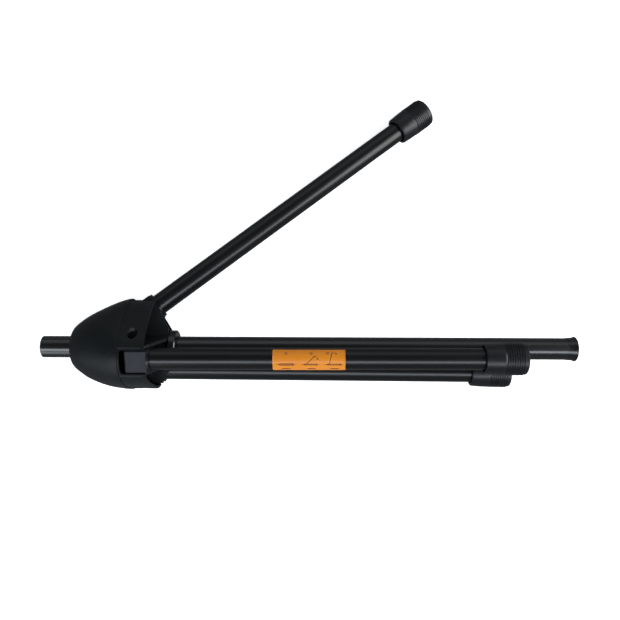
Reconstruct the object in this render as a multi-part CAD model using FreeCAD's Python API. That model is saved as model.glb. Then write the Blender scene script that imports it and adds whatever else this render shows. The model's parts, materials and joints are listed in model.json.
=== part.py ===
import FreeCAD, Part
import math
import os

# Music stand base: a folding three-leg foot with a sliding mast, lying on its side.
# Everything is built along the mast (x runs down the mast towards its lower end,
# x = 0 is the plane of the three leg pivots), then laid on the floor.

# ---- mast -------------------------------------------------------------------
TUBE_R = 12.5
TUBE_BORE_R = 11.0
MAST_TOP_X = -116.4
MAST_END_X = 492.2
END_CAP_X = 486.6
END_CAP_END_X = 496.6
END_CAP_R = 14.2

# ---- hub --------------------------------------------------------------------
CAP_TOP_X = -79.5
SEAM_X = -14.6
RIM_X = 13.9
BODY_MEAN_R = 51.2
BODY_LOBE = 4.8
WALL = 3.2
SLEEVE_R = 16.5
SLEEVE_BORE_R = 14.5
SLEEVE_TOP_X = -70.0
SLEEVE_END_X = 31.6
COLLAR_R = 19.5
COLLAR_END_X = 39.7
GUSSET_END_X = 31.4
SLOT_HALF = 13.8
SLOT_END_X = -12.8
SLOT_CORNER_R = 3.5
CHEEK_IN = 13.5
CHEEK_OUT = 16.9
GUSSET_TOP_R = 46.0

# ---- legs -------------------------------------------------------------------
PIVOT_R = 39.6
LEG_TUBE_R = 12.15
KNUCKLE_HALF = 12.8
KNUCKLE_TOP = 12.3
KNUCKLE_BACK = 7.6
RING_X = 16.2
RING_THICK = 2.5
RING_R = 15.0
RING_HALF = 13.0
LEG_END_X = 424.0
FOOT_X = 383.8
FOOT_END_X = 429.9
FOOT_R = 16.7
FOOT_RIB_R = 17.9
RIB_COUNT = 8
RIB_PITCH = 2.55
PIN_R = 4.0
PIN_HEAD_R = 5.2
PIN_HEAD_END = 22.5
CLICK_ANGLES = (0.0, 37.0, 78.0)

# name, azimuth round the mast, opening angle as laid down
LEGS = (
    ("front", 15.3, -0.6),
    ("raised", -104.7, 38.5),
    ("rear", 135.3, 0.4),
)

# ---- label on the front leg --------------------------------------------------
LABEL_X0 = 153.0
LABEL_X1 = 232.0
LABEL_THICK = 0.12
LABEL_FROM_DEG = -73.0
LABEL_TO_DEG = 78.0


def vec(x, y, z):
    return FreeCAD.Vector(x, y, z)


def cyl_x(radius, x0, x1):
    return Part.makeCylinder(radius, x1 - x0, vec(x0, 0, 0), vec(1, 0, 0))


def cyl_y(radius, y0, y1, x, z):
    return Part.makeCylinder(radius, y1 - y0, vec(x, y0, z), vec(0, 1, 0))


def tube_x(radius, bore, x0, x1):
    return cyl_x(radius, x0, x1).cut(cyl_x(bore, x0 - 1.0, x1 + 1.0))


def box(x0, x1, y0, y1, z0, z1):
    return Part.makeBox(x1 - x0, y1 - y0, z1 - z0, vec(x0, y0, z0))


def plate_xz(points, y0, y1):
    """Flat plate from an outline in the x-z plane, thick from y0 to y1."""
    wire = Part.makePolygon([vec(x, y0, z) for x, z in points + [points[0]]])
    return Part.Face(wire).extrude(vec(0, y1 - y0, 0))


def revolve_x(points):
    """Solid of revolution round the x axis from an outline of (x, radius)."""
    wire = Part.makePolygon([vec(x, 0, r) for x, r in points + [points[0]]])
    return Part.Face(wire).revolve(vec(0, 0, 0), vec(1, 0, 0), 360.0)


def lobe_radius(mean, lobe, azimuth):
    """Radius of the three-lobed hub outline, its lobes facing the legs."""
    return mean + lobe * math.cos(math.radians(3.0 * (azimuth - LEGS[0][1])))


def lobe_wire(x, mean, lobe):
    points = []
    for i in range(36):
        a = 10.0 * i
        r = lobe_radius(mean, lobe, a)
        points.append(vec(x, -r * math.sin(math.radians(a)), r * math.cos(math.radians(a))))
    curve = Part.BSplineCurve()
    curve.interpolate(Points=points, PeriodicFlag=True)
    return Part.Wire([curve.toShape()])


def lobe_prism(mean, lobe, x0, x1):
    return Part.Face(lobe_wire(x0, mean, lobe)).extrude(vec(x1 - x0, 0, 0))


def lobe_loft(stations):
    return Part.makeLoft([lobe_wire(x, mean, lobe) for x, mean, lobe in stations], True, False)


def at_leg(shape, azimuth):
    """Turn a shape drawn for a leg at the top of the hub to its own azimuth."""
    out = shape.copy()
    out.rotate(vec(0, 0, 0), vec(1, 0, 0), azimuth)
    return out


def swing(shape, opening):
    """Open a leg piece about its pivot and set it at the pivot radius."""
    out = shape.copy()
    out.rotate(vec(0, 0, 0), vec(0, -1, 0), opening)
    out.translate(vec(0, 0, PIVOT_R))
    return out


# ---- hub pieces ----------------------------------------------------------------
CAP_STATIONS = [
    (CAP_TOP_X, 19.0, 0.0),
    (-78.4, 22.6, 0.0),
    (-75.2, 26.3, 0.0),
    (-70.7, 29.8, 0.1),
    (-61.8, 35.9, 0.3),
    (-52.0, 41.0, 0.8),
    (-42.1, 45.3, 1.6),
    (-32.3, 48.8, 2.8),
    (-22.4, 51.3, 4.2),
    (SEAM_X, 52.1, 5.2),
]
CAVITY_STATIONS = [
    (-75.0, 19.6, 0.0),
    (-70.7, 25.4, 0.1),
    (-61.8, 32.0, 0.3),
    (-52.0, 37.8, 0.8),
    (-42.1, 42.4, 1.6),
    (-32.3, 46.0, 2.8),
    (-22.4, 48.2, 4.2),
    (SEAM_X + 0.5, 49.0, 5.2),
]


def make_hub_cap():
    cap = lobe_loft(CAP_STATIONS).cut(lobe_loft(CAVITY_STATIONS))
    return cap.cut(cyl_x(13.4, CAP_TOP_X - 1.0, -72.0))


def slot_cutter():
    """Open-ended slot through the hub wall with rounded inner corners."""
    block = box(SLOT_END_X, RIM_X + 5.0, -SLOT_HALF, SLOT_HALF, 30.0, 70.0)
    corners = []
    for edge in block.Edges:
        c = edge.CenterOfMass
        if abs(c.x - SLOT_END_X) < 0.01 and abs(abs(c.y) - SLOT_HALF) < 0.01:
            corners.append(edge)
    return block.makeFillet(SLOT_CORNER_R, corners)


def cheek_pair():
    """Two flat plates that carry one leg's pivot pin, with tapering gussets."""
    outline = [
        (SEAM_X, 5.0),
        (SEAM_X, 52.0),
        (RIM_X - 3.0, 52.0),
        (RIM_X, GUSSET_TOP_R),
        (GUSSET_END_X, 19.0),
        (GUSSET_END_X, 5.0),
    ]
    far = plate_xz(outline, CHEEK_IN, CHEEK_OUT)
    near = plate_xz(outline, -CHEEK_OUT, -CHEEK_IN)
    return far, near


def make_hub_body():
    shell = lobe_prism(BODY_MEAN_R, BODY_LOBE, SEAM_X, RIM_X)
    shell = shell.cut(lobe_prism(BODY_MEAN_R - WALL, BODY_LOBE, SEAM_X - 1.0, RIM_X + 1.0))
    spigot = lobe_prism(BODY_MEAN_R - WALL + 0.2, BODY_LOBE - 0.2, SEAM_X - 6.0, SEAM_X + 3.0)
    spigot = spigot.cut(lobe_prism(BODY_MEAN_R - WALL - 1.8, BODY_LOBE - 0.2, SEAM_X - 7.0, SEAM_X + 4.0))
    for _, azimuth, _ in LEGS:
        gap = box(SEAM_X - 8.0, SEAM_X + 5.0, -22.0, 22.0, 20.0, 70.0)
        spigot = spigot.cut(at_leg(gap, azimuth))
    body = shell.fuse(spigot)
    for _, azimuth, _ in LEGS:
        body = body.cut(at_leg(slot_cutter(), azimuth))
    sleeve = cyl_x(SLEEVE_R, SLEEVE_TOP_X, SLEEVE_END_X)
    body = body.fuse(sleeve)
    for _, azimuth, _ in LEGS:
        for plate in cheek_pair():
            body = body.fuse(at_leg(plate, azimuth))
    for _, azimuth, _ in LEGS:
        channel = box(SEAM_X - 1.0, GUSSET_END_X + 1.0, -CHEEK_IN, CHEEK_IN, 19.5, 46.0)
        body = body.cut(at_leg(channel, azimuth))
        pad = box(3.0, 15.0, -6.2, 6.2, 16.0, 19.6)
        body = body.cut(at_leg(pad, azimuth))
        bore = cyl_y(PIN_R, -CHEEK_OUT - 1.0, CHEEK_OUT + 1.0, 0.0, PIVOT_R)
        body = body.cut(at_leg(bore, azimuth))
        access = cyl_y(PIN_HEAD_R + 0.45, CHEEK_OUT, 48.0, 0.0, PIVOT_R)
        body = body.cut(at_leg(access, azimuth))
    body = body.cut(cyl_x(SLEEVE_BORE_R, SLEEVE_TOP_X - 1.0, SLEEVE_END_X + 1.0))
    return body.removeSplitter()


def make_upper_bush():
    return revolve_x([
        (SLEEVE_TOP_X - 2.0, 12.55),
        (SLEEVE_TOP_X - 2.0, 16.4),
        (SLEEVE_TOP_X, 16.4),
        (SLEEVE_TOP_X, SLEEVE_BORE_R),
        (SLEEVE_TOP_X + 18.0, SLEEVE_BORE_R),
        (SLEEVE_TOP_X + 18.0, 12.55),
    ])


def make_lower_bush():
    return tube_x(SLEEVE_BORE_R, 12.55, 6.0, 26.0)


def make_lower_collar():
    return revolve_x([
        (26.0, 12.9),
        (26.0, SLEEVE_BORE_R),
        (SLEEVE_END_X, SLEEVE_BORE_R),
        (SLEEVE_END_X, COLLAR_R - 0.6),
        (SLEEVE_END_X + 0.6, COLLAR_R),
        (COLLAR_END_X - 1.2, COLLAR_R),
        (COLLAR_END_X, COLLAR_R - 1.2),
        (COLLAR_END_X, 12.9),
    ])


# ---- leg pieces, drawn with the pivot at the origin --------------------------------
def make_pivot_pin():
    shaft = cyl_y(PIN_R, -19.0, CHEEK_OUT, 0.0, 0.0)
    head = cyl_y(PIN_HEAD_R, CHEEK_OUT, PIN_HEAD_END, 0.0, 0.0)
    ball = Part.makeSphere(9.2, vec(0, PIN_HEAD_END - 7.6, 0))
    dome = ball.common(cyl_y(PIN_HEAD_R, PIN_HEAD_END - 1.4, PIN_HEAD_END + 4.0, 0.0, 0.0))
    return shaft.fuse(head).fuse(dome).removeSplitter()


def make_knuckle():
    face = box(-KNUCKLE_BACK, RING_X, -KNUCKLE_HALF, KNUCKLE_HALF, 0.0, KNUCKLE_TOP)
    rounded = []
    for edge in face.Edges:
        c = edge.CenterOfMass
        at_back = abs(c.x + KNUCKLE_BACK) < 0.01
        at_side = abs(abs(c.y) - KNUCKLE_HALF) < 0.01
        at_top = abs(c.z - KNUCKLE_TOP) < 0.01
        if (at_back and at_side) or (at_back and at_top) or (at_side and at_top):
            rounded.append(edge)
    face = face.makeFillet(1.6, rounded)
    lower = box(0.0, RING_X, -KNUCKLE_HALF, KNUCKLE_HALF, -KNUCKLE_TOP, 0.0)
    barrel = cyl_y(11.2, -KNUCKLE_HALF, KNUCKLE_HALF, 0.0, 0.0)
    spigot = cyl_x(TUBE_BORE_R - 0.02, RING_X, 48.0)
    knuckle = face.fuse(lower).fuse(barrel).fuse(spigot)
    knuckle = knuckle.cut(cyl_y(PIN_R + 0.05, -20.0, 20.0, 0.0, 0.0))
    for angle in CLICK_ANGLES:
        a = math.radians(262.0 - angle)
        knuckle = knuckle.cut(cyl_y(1.5, -20.0, 20.0, 12.2 * math.cos(a), 12.2 * math.sin(a)))
    return knuckle.removeSplitter()


def make_ring():
    ring = tube_x(RING_R, TUBE_BORE_R, RING_X, RING_X + RING_THICK)
    return ring.common(box(RING_X, RING_X + RING_THICK, -RING_HALF, RING_HALF, -20.0, 20.0))


def make_leg_tube():
    return tube_x(LEG_TUBE_R, TUBE_BORE_R, RING_X + RING_THICK, LEG_END_X)


def make_foot():
    outline = [
        (FOOT_X, FOOT_R - 1.2),
        (FOOT_X + 0.5, FOOT_R - 0.3),
        (FOOT_X + 1.4, FOOT_R),
        (FOOT_X + 12.0, FOOT_R + 0.7),
        (FOOT_X + 21.0, FOOT_R + 1.0),
    ]
    for i in range(RIB_COUNT):
        x = FOOT_X + 22.0 + RIB_PITCH * i
        outline.append((x, FOOT_RIB_R - 0.8))
        outline.append((x + 0.5, FOOT_RIB_R))
        outline.append((x + 1.5, FOOT_RIB_R))
        outline.append((x + 2.0, FOOT_RIB_R - 0.8))
    outline += [
        (FOOT_END_X - 1.2, FOOT_R + 0.4),
        (FOOT_END_X, FOOT_R - 0.9),
        (FOOT_END_X, 0.0),
        (LEG_END_X, 0.0),
        (LEG_END_X, LEG_TUBE_R),
        (FOOT_X + 5.0, LEG_TUBE_R),
        (FOOT_X + 5.0, LEG_TUBE_R + 1.6),
        (FOOT_X, LEG_TUBE_R + 1.9),
    ]
    return revolve_x(outline)


def make_spring():
    outline = [
        (14.0, 16.0),
        (14.0, 16.9),
        (5.2, 16.9),
        (0.7, 27.0),
        (-0.5, 27.0),
        (-4.8, 22.6),
        (-4.2, 22.0),
        (0.0, 26.0),
        (4.5, 16.0),
    ]
    return plate_xz(outline, -6.0, 6.0)


def make_label():
    band = tube_x(LEG_TUBE_R + LABEL_THICK, LEG_TUBE_R, LABEL_X0, LABEL_X1)
    wedge = [vec(LABEL_X0 - 1.0, 0, 0)]
    steps = 8
    for i in range(steps + 1):
        a = math.radians(LABEL_FROM_DEG + (LABEL_TO_DEG - LABEL_FROM_DEG) * i / steps)
        wedge.append(vec(LABEL_X0 - 1.0, -20.0 * math.sin(a), 20.0 * math.cos(a)))
    wedge.append(wedge[0])
    sector = Part.Face(Part.makePolygon(wedge)).extrude(vec(LABEL_X1 - LABEL_X0 + 2.0, 0, 0))
    return band.common(sector)


# ---- mast pieces -----------------------------------------------------------------
def make_mast_tube():
    return tube_x(TUBE_R, TUBE_BORE_R, MAST_TOP_X, MAST_END_X)


def make_mast_end_cap():
    return revolve_x([
        (END_CAP_X, TUBE_R),
        (END_CAP_X, TUBE_R + 0.35),
        (END_CAP_X + 4.0, TUBE_R + 0.5),
        (END_CAP_X + 6.4, TUBE_R + 0.85),
        (END_CAP_X + 7.9, TUBE_R + 1.3),
        (END_CAP_X + 8.8, END_CAP_R),
        (END_CAP_END_X - 0.5, END_CAP_R),
        (END_CAP_END_X, END_CAP_R - 0.5),
        (END_CAP_END_X, 0.0),
        (MAST_END_X + 1.2, 0.0),
        (MAST_END_X + 1.2, TUBE_R),
    ])


# ---- lay the stand on the floor -----------------------------------------------------
def to_floor(point, roll, pitch):
    """Turn a point from the mast frame by the roll, then by the pitch."""
    x, y, z = point
    c, s = math.cos(roll), math.sin(roll)
    y, z = c * y - s * z, s * y + c * z
    c, s = math.cos(pitch), math.sin(pitch)
    return c * x + s * z, y, c * z - s * x


def leg_point(x, z, azimuth, opening):
    a, t = math.radians(azimuth), math.radians(opening)
    px = x * math.cos(t) - z * math.sin(t)
    pz = x * math.sin(t) + z * math.cos(t) + PIVOT_R
    return px, -pz * math.sin(a), pz * math.cos(a)


def lowest_of_foot(azimuth, opening, roll, pitch):
    """Lowest height of a foot's circular ribs."""
    a = to_floor(leg_point(0, 0, azimuth, opening), roll, pitch)
    b = to_floor(leg_point(1, 0, azimuth, opening), roll, pitch)
    reach = math.sqrt(1.0 - (b[2] - a[2]) ** 2)
    heights = []
    first = FOOT_X + 22.5
    last = FOOT_X + 22.0 + RIB_PITCH * (RIB_COUNT - 1) + 1.5
    for x, r in ((first, FOOT_RIB_R), (last, FOOT_RIB_R), (FOOT_END_X, FOOT_R - 0.9)):
        centre = to_floor(leg_point(x, 0, azimuth, opening), roll, pitch)
        heights.append(centre[2] - r * reach)
    return min(heights)


def lowest_of_hub(roll, pitch):
    heights = []
    for x, mean, lobe in CAP_STATIONS[5:] + [(RIM_X, BODY_MEAN_R, BODY_LOBE)]:
        for i in range(720):
            a = 0.5 * i
            r = lobe_radius(mean, lobe, a)
            y, z = -r * math.sin(math.radians(a)), r * math.cos(math.radians(a))
            heights.append(to_floor((x, y, z), roll, pitch)[2])
    return min(heights)


def resting_angles():
    """Roll and pitch that put the hub and two feet on one level."""
    roll, pitch = math.radians(8.0), 0.0
    for _ in range(60):
        hub = lowest_of_hub(roll, pitch)
        raised = lowest_of_foot(LEGS[1][1], LEGS[1][2], roll, pitch)
        rear = lowest_of_foot(LEGS[2][1], LEGS[2][2], roll, pitch)
        pitch += (rear - hub) / 400.0
        roll += (rear - raised) / 330.0
    return roll, pitch


ROLL, PITCH = resting_angles()


def lay_down(shape):
    out = shape.copy()
    out.rotate(vec(0, 0, 0), vec(1, 0, 0), math.degrees(ROLL))
    out.rotate(vec(0, 0, 0), vec(0, 1, 0), math.degrees(PITCH))
    return out


def build():
    parts = {
        "hub_cap": make_hub_cap(),
        "hub_body": make_hub_body(),
        "upper_bush": make_upper_bush(),
        "lower_bush": make_lower_bush(),
        "lower_collar": make_lower_collar(),
        "mast_tube": make_mast_tube(),
        "mast_end_cap": make_mast_end_cap(),
    }
    knuckle, ring, tube, foot = make_knuckle(), make_ring(), make_leg_tube(), make_foot()
    pin, spring = make_pivot_pin(), make_spring()
    for name, azimuth, opening in LEGS:
        parts[name + "_knuckle"] = at_leg(swing(knuckle, opening), azimuth)
        parts[name + "_ring"] = at_leg(swing(ring, opening), azimuth)
        parts[name + "_leg_tube"] = at_leg(swing(tube, opening), azimuth)
        parts[name + "_foot"] = at_leg(swing(foot, opening), azimuth)
        parts[name + "_pivot_pin"] = at_leg(swing(pin, 0.0), azimuth)
        parts[name + "_click_spring"] = at_leg(spring, azimuth)
    name, azimuth, opening = LEGS[0]
    parts["leg_label"] = at_leg(swing(make_label(), opening), azimuth)
    return {name: lay_down(shape) for name, shape in parts.items()}


def settle(parts):
    """Put the underside on z = 0 with the footprint centred on the origin."""
    whole = None
    for shape in parts.values():
        b = shape.optimalBoundingBox(True, False)
        if whole is None:
            whole = b
        else:
            whole.add(b)
    shift = vec(-0.5 * (whole.XMin + whole.XMax), -0.5 * (whole.YMin + whole.YMax), -whole.ZMin)
    for shape in parts.values():
        shape.translate(shift)
    return shift


PARTS = build()
SHIFT = settle(PARTS)

os.makedirs("parts", exist_ok=True)
for node, shape in PARTS.items():
    shape.exportStep("parts/" + node + ".step")
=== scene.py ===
import json
import math

import bpy
from mathutils import Euler, Matrix, Vector


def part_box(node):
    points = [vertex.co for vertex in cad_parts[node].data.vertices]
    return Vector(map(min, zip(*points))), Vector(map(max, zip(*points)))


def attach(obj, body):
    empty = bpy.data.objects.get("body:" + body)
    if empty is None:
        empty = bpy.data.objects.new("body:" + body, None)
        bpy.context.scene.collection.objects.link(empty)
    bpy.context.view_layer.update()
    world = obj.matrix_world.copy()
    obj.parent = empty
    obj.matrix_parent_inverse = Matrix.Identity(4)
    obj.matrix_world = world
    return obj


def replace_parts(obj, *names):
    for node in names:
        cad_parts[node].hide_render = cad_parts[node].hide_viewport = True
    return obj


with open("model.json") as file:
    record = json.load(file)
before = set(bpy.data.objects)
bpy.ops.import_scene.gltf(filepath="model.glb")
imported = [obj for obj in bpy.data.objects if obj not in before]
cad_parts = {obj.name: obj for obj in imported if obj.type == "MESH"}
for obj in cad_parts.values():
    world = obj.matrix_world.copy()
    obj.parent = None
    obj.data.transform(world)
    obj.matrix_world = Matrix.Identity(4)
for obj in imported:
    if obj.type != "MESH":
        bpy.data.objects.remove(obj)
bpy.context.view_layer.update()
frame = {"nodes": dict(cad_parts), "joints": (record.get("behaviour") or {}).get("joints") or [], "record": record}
nodes = frame["nodes"]
joints = {joint["name"]: joint for joint in frame["joints"]}
MM = 0.001

# CAD nodes
WELD_DISTANCE = 0.002 * MM
CREASE_ANGLE = math.radians(34.0)

# label on the front leg: along it from the pivot, and round it from the side away from the mast
LEG_TUBE_R = 12.15 * MM
FILM_LIFT = 0.005 * MM
FILM_R = LEG_TUBE_R + 0.12 * MM
INK_R = FILM_R + 0.03 * MM
LABEL_X0, LABEL_X1 = 153.0 * MM, 232.0 * MM
LABEL_A0, LABEL_A1 = math.radians(-73.0), math.radians(78.0)
LABEL_CORNER = 0.35 * MM
FILM_COLUMNS, FILM_ROWS = 80, 48

# stage
FLOOR_HALF = 6.0
FLOOR_GLOW = 0.75
AIM_X = 0.05
CAMERA_SENSOR, CAMERA_LENS = 36.0, 36.79
CAMERA_PLACE = (0.01470, -0.19629, 0.78352)
CAMERA_TURN = (0.14351, 0.01584, 0.00593)

scene = bpy.context.scene
scene.view_settings.view_transform = "Standard"


# ---------------------------------------------------------------- places
def middle(node):
    low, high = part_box(node)
    return (low + high) / 2


def leg_frame(name):
    """x runs down the leg from its pivot, z points away from the mast."""
    joint = joints[name + "_leg_hinge"]
    pivot = Vector(joint["pos_m"])
    y = -Vector(joint["axis"]).normalized()
    x = (middle(name + "_leg_tube") - pivot).normalized()
    z = x.cross(y).normalized()
    y = z.cross(x)
    matrix = Matrix((x, y, z)).transposed().to_4x4()
    matrix.translation = pivot
    return matrix


# ---------------------------------------------------------------- node helpers
class Nodes:
    """Small wrapper that adds and links shader nodes."""

    def __init__(self, name):
        self.mat = bpy.data.materials.new(name)
        self.mat.use_nodes = True
        self.tree = self.mat.node_tree
        self.bsdf = self.tree.nodes["Principled BSDF"]
        self.coords = self.add("ShaderNodeTexCoord").outputs["Object"]

    def add(self, kind, **values):
        """New node; a value is one of its properties, or else one of its sockets."""
        node = self.tree.nodes.new(kind)
        for key, value in values.items():
            if hasattr(node, key):
                setattr(node, key, value)
            else:
                node.inputs[key.replace("_", " ")].default_value = value
        return node

    def link(self, a, b):
        self.tree.links.new(a, b)

    def drive(self, output, socket):
        """Links an output to one of the surface shader's sockets."""
        self.link(output, self.bsdf.inputs[socket])

    def level(self, socket, value):
        """Sets one of the surface shader's sockets to a plain value."""
        self.bsdf.inputs[socket].default_value = value

    def noise(self, scale, detail=3.0, rough=0.6, stretch=None):
        source = self.coords
        if stretch:
            mapping = self.add("ShaderNodeMapping", Scale=stretch)
            self.link(source, mapping.inputs["Vector"])
            source = mapping.outputs["Vector"]
        tex = self.add("ShaderNodeTexNoise", Scale=scale, Detail=detail, Roughness=rough)
        self.link(source, tex.inputs["Vector"])
        return tex.outputs["Fac"]

    def span(self, fac, low, high, start=0.0, end=1.0):
        """Stretches the range start to end over low to high."""
        node = self.add("ShaderNodeMapRange", From_Min=start, From_Max=end, To_Min=low, To_Max=high)
        self.link(fac, node.inputs["Value"])
        return node.outputs["Result"]

    def tint(self, fac, colour_a, colour_b, start=0.3, end=0.7):
        ramp = self.add("ShaderNodeValToRGB")
        for stop, position, colour in zip(ramp.color_ramp.elements, (start, end), (colour_a, colour_b)):
            stop.position = position
            stop.color = (*colour, 1.0)
        self.link(fac, ramp.inputs["Fac"])
        return ramp.outputs["Color"]

    def worn_edges(self, colour, wear, start=0.60, end=0.72):
        """Lightens raised edges, broken up by noise."""
        edge = self.add("ShaderNodeNewGeometry").outputs["Pointiness"]
        mask = self.span(edge, 0.0, 1.0, start, end)
        broken = self.add("ShaderNodeMath", operation="MULTIPLY")
        self.link(mask, broken.inputs[0])
        self.link(self.span(self.noise(320.0), 0.0, 1.0, 0.35, 0.65), broken.inputs[1])
        mixed = self.add("ShaderNodeMix", data_type="RGBA")
        factor, first, second = mixed.inputs["Factor"], mixed.inputs[6], mixed.inputs[7]
        self.link(broken.outputs["Value"], factor)
        self.link(colour, first)
        second.default_value = (*wear, 1.0)
        return mixed.outputs[2]

    def bump(self, height, strength, distance):
        node = self.add("ShaderNodeBump", Strength=strength, Distance=distance)
        self.link(height, node.inputs["Height"])
        self.drive(node.outputs["Normal"], "Normal")


# ---------------------------------------------------------------- materials
def moulded_plastic(name, dark, light, wear, rough, grain, depth, specular=0.5):
    n = Nodes(name)
    colour = n.tint(n.noise(26.0, 4.0), dark, light)
    n.drive(n.worn_edges(colour, wear), "Base Color")
    n.drive(n.span(n.noise(60.0, 4.0), rough - 0.03, rough + 0.03, 0.3, 0.7), "Roughness")
    n.level("Specular IOR Level", specular)
    n.bump(n.noise(grain, 2.0, 0.5), depth, 0.12 * MM)
    return n.mat


def black_tube_paint(name, rough, specular):
    """Black paint with fine orange peel and faint streaks along the tube."""
    n = Nodes(name)
    colour = n.tint(n.noise(18.0, 4.0), (0.0022, 0.0026, 0.0027), (0.0034, 0.0038, 0.0040))
    n.drive(colour, "Base Color")
    streak = n.noise(40.0, 3.0, 0.5, (0.12, 1.0, 1.0))
    n.drive(n.span(streak, rough - 0.01, rough + 0.01, 0.3, 0.7), "Roughness")
    n.level("Specular IOR Level", specular)
    n.bump(n.noise(1400.0, 2.0, 0.4), 0.02, 0.03 * MM)
    return n.mat


def rubber():
    n = Nodes("foot_rubber")
    dust = n.noise(40.0, 6.0, 0.7)
    colour = n.tint(dust, (0.0040, 0.0046, 0.0060), (0.0060, 0.0067, 0.0085), 0.35, 0.75)
    n.drive(n.worn_edges(colour, (0.009, 0.0095, 0.011)), "Base Color")
    n.drive(n.span(dust, 0.34, 0.40, 0.3, 0.7), "Roughness")
    n.level("Specular IOR Level", 0.46)
    n.bump(n.noise(1900.0, 3.0, 0.6), 0.12, 0.1 * MM)
    return n.mat


def gloss_black():
    n = Nodes("pin_gloss_black")
    n.drive(n.tint(n.noise(300.0), (0.002, 0.002, 0.002), (0.004, 0.004, 0.0045)), "Base Color")
    n.drive(n.span(n.noise(500.0), 0.05, 0.08), "Roughness")
    n.level("Specular IOR Level", 0.5)
    n.bump(n.noise(900.0), 0.02, 0.04 * MM)
    return n.mat


def bare_steel():
    n = Nodes("spring_steel")
    n.level("Metallic", 1.0)
    brushed = n.noise(900.0, 3.0, 0.6, (1.0, 0.05, 1.0))
    n.drive(n.tint(brushed, (0.42, 0.42, 0.44), (0.6, 0.6, 0.62)), "Base Color")
    n.drive(n.span(brushed, 0.25, 0.4), "Roughness")
    n.bump(brushed, 0.05, 0.05 * MM)
    return n.mat


def label_film():
    n = Nodes("orange_label_film")
    fibre = n.noise(420.0, 4.0)
    n.drive(n.tint(n.noise(60.0, 4.0), (0.650, 0.208, 0.0130), (0.690, 0.232, 0.0170)), "Base Color")
    n.drive(n.span(fibre, 0.32, 0.42), "Roughness")
    n.level("Specular IOR Level", 0.35)
    n.bump(fibre, 0.03, 0.05 * MM)
    return n.mat


def label_ink(name, dark, light):
    n = Nodes(name)
    fibre = n.noise(900.0, 3.0)
    n.drive(n.tint(fibre, dark, light), "Base Color")
    n.drive(n.span(fibre, 0.35, 0.5), "Roughness")
    n.bump(fibre, 0.05, 0.03 * MM)
    return n.mat


TRIM_LOOK = {
    "dark": (0.0024, 0.0027, 0.0028),
    "light": (0.0036, 0.0039, 0.0041),
    "wear": (0.020, 0.020, 0.021),
}
HUB = moulded_plastic(
    "hub_plastic",
    dark=(0.0058, 0.0076, 0.0080), light=(0.0074, 0.0096, 0.0100), wear=(0.020, 0.023, 0.022),
    rough=0.44, grain=2300.0, depth=0.16, specular=0.22)
KNUCKLE = moulded_plastic(
    "knuckle_plastic",
    dark=(0.0078, 0.0092, 0.0145), light=(0.0100, 0.0120, 0.0182), wear=(0.030, 0.030, 0.036),
    rough=0.46, grain=1500.0, depth=0.12, specular=0.26)
TRIM = moulded_plastic("trim_plastic", **TRIM_LOOK, rough=0.32, grain=1500.0, depth=0.08, specular=0.4)
CAP = moulded_plastic("cap_plastic", **TRIM_LOOK, rough=0.24, grain=1500.0, depth=0.02, specular=0.8)
BUSH = moulded_plastic(
    "bush_plastic",
    dark=(0.016, 0.016, 0.016), light=(0.024, 0.024, 0.024), wear=(0.050, 0.050, 0.050),
    rough=0.38, grain=1500.0, depth=0.08)
LEG_PAINT = black_tube_paint("satin_black_paint", 0.28, 0.50)
MAST_PAINT = black_tube_paint("gloss_black_paint", 0.25, 0.95)
FILM = label_film()
INK = label_ink("label_ink", (0.045, 0.014, 0.003), (0.080, 0.026, 0.006))
PALE_INK = label_ink("label_pale_ink", (0.20, 0.070, 0.012), (0.28, 0.100, 0.018))

SLOT_LOOKS = {
    "hub_plastic": HUB,
    "knuckle_plastic": KNUCKLE,
    "ring_plastic": TRIM,
    "plug_plastic": CAP,
    "bush_plastic": BUSH,
    "tube_black": LEG_PAINT,
    "foot_rubber": rubber(),
    "pin_black": gloss_black(),
    "spring_steel": bare_steel(),
    "label_orange": FILM,
}


def dress(obj, material):
    obj.data.materials.clear()
    obj.data.materials.append(material)


# ---------------------------------------------------------------- CAD nodes
def smooth_faces(obj):
    """Smooth shading over curved faces, with creases kept sharp."""
    for poly in obj.data.polygons:
        poly.use_smooth = True
    weld = obj.modifiers.new("weld", "WELD")
    weld.merge_threshold = WELD_DISTANCE
    split = obj.modifiers.new("split", "EDGE_SPLIT")
    split.split_angle = CREASE_ANGLE


for part in frame["record"]["subparts"]:
    node = nodes[part["node"]]
    dress(node, SLOT_LOOKS[part["material_slot"]])
    smooth_faces(node)
dress(nodes["mast_tube"], MAST_PAINT)


# ---------------------------------------------------------------- label
FRONT = leg_frame("front")


def wrap(x, around, radius):
    """Point on the front leg: x along it, around it from the side away from the mast."""
    return FRONT @ Vector((x, -radius * math.sin(around), radius * math.cos(around)))


def new_piece(name, vertices, faces, material, smooth=True):
    """New piece of the label, riding on the front leg."""
    mesh = bpy.data.meshes.new(name)
    mesh.from_pydata([tuple(v) for v in vertices], [], faces)
    mesh.update()
    obj = bpy.data.objects.new(name, mesh)
    scene.collection.objects.link(obj)
    for poly in mesh.polygons:
        poly.use_smooth = smooth
    dress(obj, material)
    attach(obj, "front_leg")
    return obj


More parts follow.
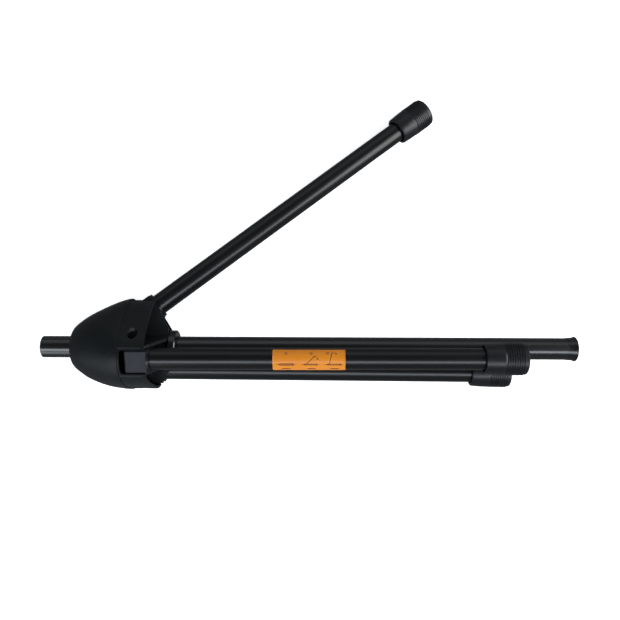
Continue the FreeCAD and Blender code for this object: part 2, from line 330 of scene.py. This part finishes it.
def wrapped_film(name):
    """Closed thin film with rounded corners, wrapped on the tube."""
    across = (LABEL_A1 - LABEL_A0) * FILM_R / 2
    half = (LABEL_X1 - LABEL_X0) / 2
    centre_x = (LABEL_X0 + LABEL_X1) / 2
    centre_a = (LABEL_A0 + LABEL_A1) / 2
    vertices, faces = [], []
    for layer_r in (LEG_TUBE_R + FILM_LIFT, FILM_R):
        for i in range(FILM_COLUMNS + 1):
            t = -half + 2 * half * i / FILM_COLUMNS
            inset = max(0.0, abs(t) - (half - LABEL_CORNER))
            reach = across - LABEL_CORNER + math.sqrt(max(0.0, LABEL_CORNER ** 2 - inset ** 2))
            for k in range(FILM_ROWS + 1):
                s = -reach + 2 * reach * k / FILM_ROWS
                vertices.append(wrap(centre_x + t, centre_a + s / FILM_R, layer_r))
    stride = FILM_ROWS + 1
    layer = (FILM_COLUMNS + 1) * stride
    for i in range(FILM_COLUMNS):
        for k in range(FILM_ROWS):
            a = i * stride + k
            faces.append((a, a + stride, a + stride + 1, a + 1))
            faces.append((layer + a, layer + a + 1, layer + a + stride + 1, layer + a + stride))
    for i in range(FILM_COLUMNS):
        for k in (0, FILM_ROWS):
            a = i * stride + k
            b = a + stride
            quad = (a, layer + a, layer + b, b)
            faces.append(quad if k else quad[::-1])
    for i in (0, FILM_COLUMNS):
        for k in range(FILM_ROWS):
            a = i * stride + k
            b = a + 1
            quad = (a, layer + a, layer + b, b)
            faces.append(quad[::-1] if i else quad)
    return new_piece(name, vertices, faces, FILM)


class Ink:
    """Flat printed marks, in mm: x from the label's hub end, y round the tube from its outer side."""

    def __init__(self):
        self.vertices = []
        self.faces = []

    def stroke(self, points, width):
        half = width / 2
        for (ax, ay), (bx, by) in zip(points, points[1:]):
            length = math.hypot(bx - ax, by - ay)
            ux, uy = (bx - ax) / length, (by - ay) / length
            steps = max(1, round(length / 0.8))
            base = len(self.vertices)
            for i in range(steps + 1):
                px, py = ax + (bx - ax) * i / steps, ay + (by - ay) * i / steps
                for side in (-half, half):
                    x = LABEL_X0 + (px - uy * side) * MM
                    self.vertices.append(wrap(x, -(py + ux * side) * MM / FILM_R, INK_R))
            for i in range(steps):
                a = base + 2 * i
                self.faces.append((a, a + 2, a + 3, a + 1))

    def arc(self, cx, cy, radius, a0, a1, width, steps=14):
        """Arc from a0 to a1 degrees. Returns its last point."""
        points = []
        for i in range(steps + 1):
            a = math.radians(a0 + (a1 - a0) * i / steps)
            points.append((cx + radius * math.cos(a), cy + radius * math.sin(a)))
        self.stroke(points, width)
        return points[-1]

    def arrow_head(self, tip, angle, size, width):
        for turn in (150.0, -150.0):
            a = math.radians(angle + turn)
            self.stroke([tip, (tip[0] + size * math.cos(a), tip[1] + size * math.sin(a))], width)

    def piece(self, name, material):
        return new_piece(name, self.vertices, self.faces, material, smooth=False)


def folded_base(ink, hub, row, length):
    """Side view of the base lying flat: mast, hub and the two folded legs."""
    ink.stroke([(hub - 4.2, row), (hub - 1.6, row)], 0.45)
    for k in range(5):
        x = hub - 1.5 + 0.55 * k
        ink.stroke([(x, row - 0.5 - 0.18 * k), (x, row + 0.5 + 0.18 * k)], 0.56)
    for side in (-0.75, 0.75):
        ink.stroke([(hub + 1.3, row + side), (hub + length, row + side)], 0.5)
    ink.stroke([(hub + 1.3, row), (hub + length + 2.0, row)], 0.4)
    ink.stroke([(hub + length - 1.2, row - 1.2), (hub + length - 1.2, row + 1.2)], 1.1)


def swung_leg(ink, hub, row, opening, length):
    """The third leg, swung out, with the arc that it travels."""
    a = math.radians(opening)
    foot = (hub + length * math.cos(a), row + length * math.sin(a))
    ink.stroke([(hub, row), foot], 0.75)
    ink.stroke([(foot[0] - 1.6 * math.cos(a), foot[1] - 1.6 * math.sin(a)), foot], 1.2)
    tip = ink.arc(hub, row, length * 1.05, opening - 2.0, opening - 24.0, 0.5)
    ink.arrow_head(tip, opening - 114.0, 1.8, 0.5)


# each picture: its hub's x, its legs' length, the third leg's opening and length, and its pale ring's place
PICTURES = (
    (8.0, 15.0, 0.0, 0.0, (6.4, 10.2)),
    (35.4, 13.5, 44.0, 12.5, (6.4, 10.2)),
    (60.2, 14.5, 78.0, 12.8, (-0.6, 10.6)),
)
PICTURE_ROW = -2.3
LEG_ROW = PICTURE_ROW + 0.9
BAR_ROW = -8.7


def print_label():
    ink, pale = Ink(), Ink()
    for hub, length, opening, swung, (ring_x, ring_y) in PICTURES:
        folded_base(ink, hub, PICTURE_ROW, length)
        if opening:
            swung_leg(ink, hub + 1.4, LEG_ROW, opening, swung)
        else:
            ink.stroke([(hub + 1.3, PICTURE_ROW), (hub + length, PICTURE_ROW)], 2.6)
        ink.stroke([(hub + 2.5, BAR_ROW), (hub + 11.5, BAR_ROW)], 1.6)
        pale.arc(hub + ring_x, ring_y, 1.1, 0.0, 360.0, 1.1, 18)
    ink.piece("label_pictograms", INK)
    pale.piece("label_pale_marks", PALE_INK)


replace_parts(wrapped_film("label_film"), "leg_label")
print_label()


# ---------------------------------------------------------------- floor, light and camera
def make_floor():
    """Pale floor with a little glow of its own, so that it renders as plain white."""
    mesh = bpy.data.meshes.new("floor")
    corners = [(x * FLOOR_HALF, y * FLOOR_HALF, 0) for x, y in ((-1, -1), (1, -1), (1, 1), (-1, 1))]
    mesh.from_pydata(corners, [], [(0, 1, 2, 3)])
    obj = bpy.data.objects.new("floor", mesh)
    scene.collection.objects.link(obj)
    n = Nodes("pale_floor")
    n.drive(n.tint(n.noise(3.0), (0.93, 0.93, 0.93), (0.95, 0.95, 0.95)), "Base Color")
    n.level("Roughness", 0.9)
    n.level("Specular IOR Level", 0.1)
    n.level("Emission Color", (1.0, 1.0, 1.0, 1.0))
    n.level("Emission Strength", FLOOR_GLOW)
    obj.visible_glossy = False
    dress(obj, n.mat)


def make_world():
    """Dim room: darkest overhead, a little brighter towards the table."""
    world = bpy.data.worlds.new("studio")
    scene.world = world
    world.use_nodes = True
    tree = world.node_tree
    coords = tree.nodes.new("ShaderNodeTexCoord")
    split = tree.nodes.new("ShaderNodeSeparateXYZ")
    height = tree.nodes.new("ShaderNodeMapRange")
    height.inputs["From Min"].default_value = -1.0
    height.inputs["From Max"].default_value = 1.0
    ramp = tree.nodes.new("ShaderNodeValToRGB")
    below, overhead = ramp.color_ramp.elements
    below.color = (0.17, 0.18, 0.19, 1.0)
    overhead.color = (0.07, 0.075, 0.08, 1.0)
    side = ramp.color_ramp.elements.new(0.62)
    side.color = (0.145, 0.155, 0.165, 1.0)
    tree.links.new(coords.outputs["Generated"], split.inputs["Vector"])
    tree.links.new(split.outputs["Z"], height.inputs["Value"])
    tree.links.new(height.outputs["Result"], ramp.inputs["Fac"])
    tree.links.new(ramp.outputs["Color"], tree.nodes["Background"].inputs["Color"])
    tree.nodes["Background"].inputs["Strength"].default_value = 1.0


def softbox(name, side, tilt, distance, size, radiance, colour):
    """Area light leaning tilt degrees off vertical towards side, aimed at the folded legs."""
    aim = Vector((AIM_X, middle("mast_tube").y, middle("mast_tube").z))
    away = Vector((*side, 0.0)).normalized() * math.sin(math.radians(tilt))
    away.z = math.cos(math.radians(tilt))
    data = bpy.data.lights.new(name, "AREA")
    data.shape = "RECTANGLE"
    data.size, data.size_y = size
    data.energy = radiance * math.pi * size[0] * size[1]
    data.color = colour
    lamp = bpy.data.objects.new(name, data)
    scene.collection.objects.link(lamp)
    lamp.location = aim + away * distance
    lamp.rotation_euler = (aim - lamp.location).to_track_quat("-Z", "Y").to_euler()


def make_camera():
    data = bpy.data.cameras.new("camera")
    data.sensor_width = CAMERA_SENSOR
    data.lens = CAMERA_LENS
    camera = bpy.data.objects.new("camera", data)
    scene.collection.objects.link(camera)
    camera.location = CAMERA_PLACE
    camera.rotation_euler = Euler(CAMERA_TURN, "XYZ")
    scene.camera = camera


make_floor()
make_world()
softbox("front_strip", (0.0, -1.0), 40.0, 1.6, (3.6, 0.52), 4.4, (0.86, 0.93, 1.0))
softbox("back_fill", (0.0, 1.0), 52.0, 2.0, (3.0, 1.2), 0.40, (0.90, 0.98, 1.0))
softbox("low_left", (-0.75, -0.66), 76.0, 1.5, (1.3, 0.7), 1.8, (0.90, 0.96, 1.0))
softbox("right_side", (1.0, 0.0), 62.0, 2.0, (1.6, 1.6), 5.0, (1.0, 1.0, 1.0))
make_camera()
